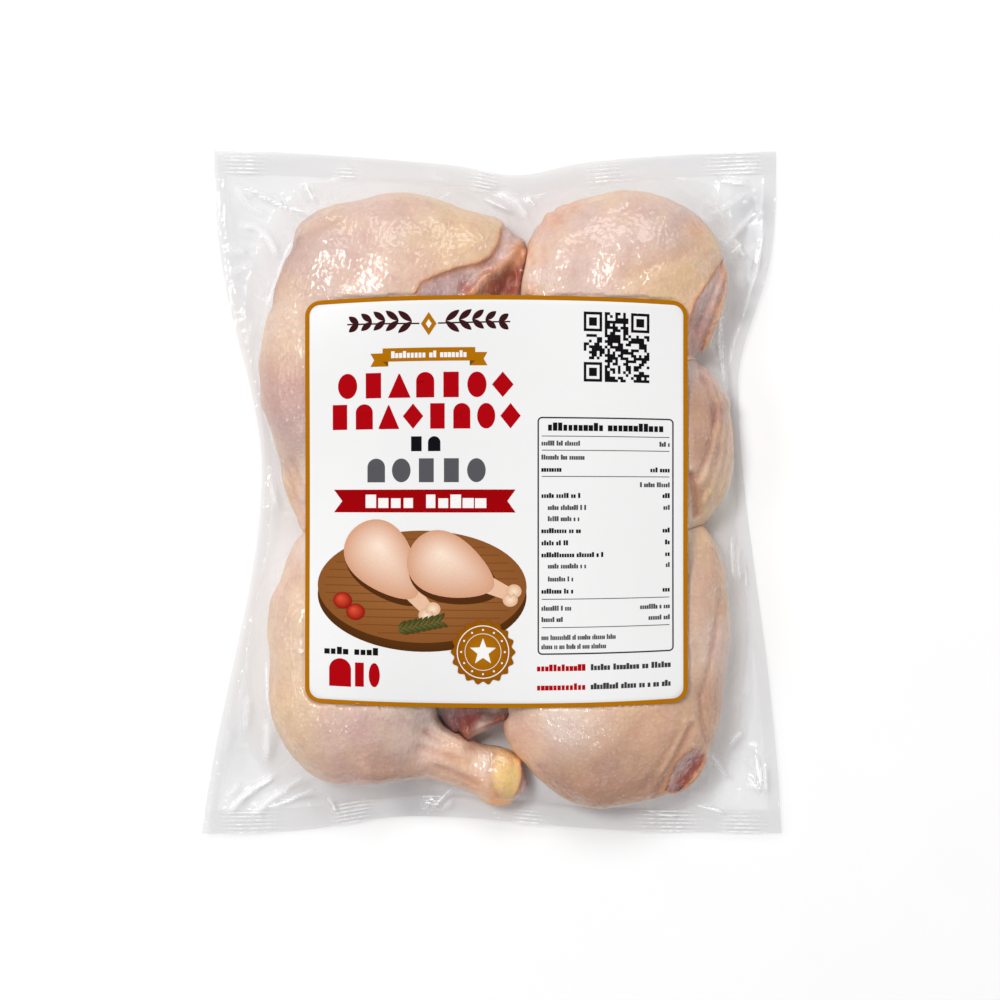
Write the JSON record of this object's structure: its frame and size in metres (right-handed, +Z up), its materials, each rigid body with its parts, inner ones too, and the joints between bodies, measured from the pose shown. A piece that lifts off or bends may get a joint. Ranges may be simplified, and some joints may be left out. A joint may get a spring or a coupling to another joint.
{
  "type": "sealed pack of raw chicken leg quarters",
  "caption": "Clear flat pouch with sealed edges, filled with raw chicken leg quarters, with a printed rectangular label stuck on its upper face; it lies face up.",
  "frame": {"origin": "centre of the pack's bounding box, on the flat underside that it rests on", "axes": "+Z up out of the labelled face, +Y towards the pack's top seal, +X to the right as the label is read"},
  "size_m": [0.321, 0.378, 0.0453],
  "materials": {
    "film": "clear glossy film, crinkled, with ribbed heat seals",
    "label_paper": "smooth white coated label stock with a soft sheen",
    "label_ink": "flat printing ink in red, gold, brown, grey and black",
    "skin": "moist raw chicken skin, cream to pink, finely pimpled",
    "meat": "moist cut raw meat with pale fascia, fat and a bone end"
  },
  "bodies": {
    "root": {"bag": "film", "label": "label_paper"}
  },
  "joints": []
}
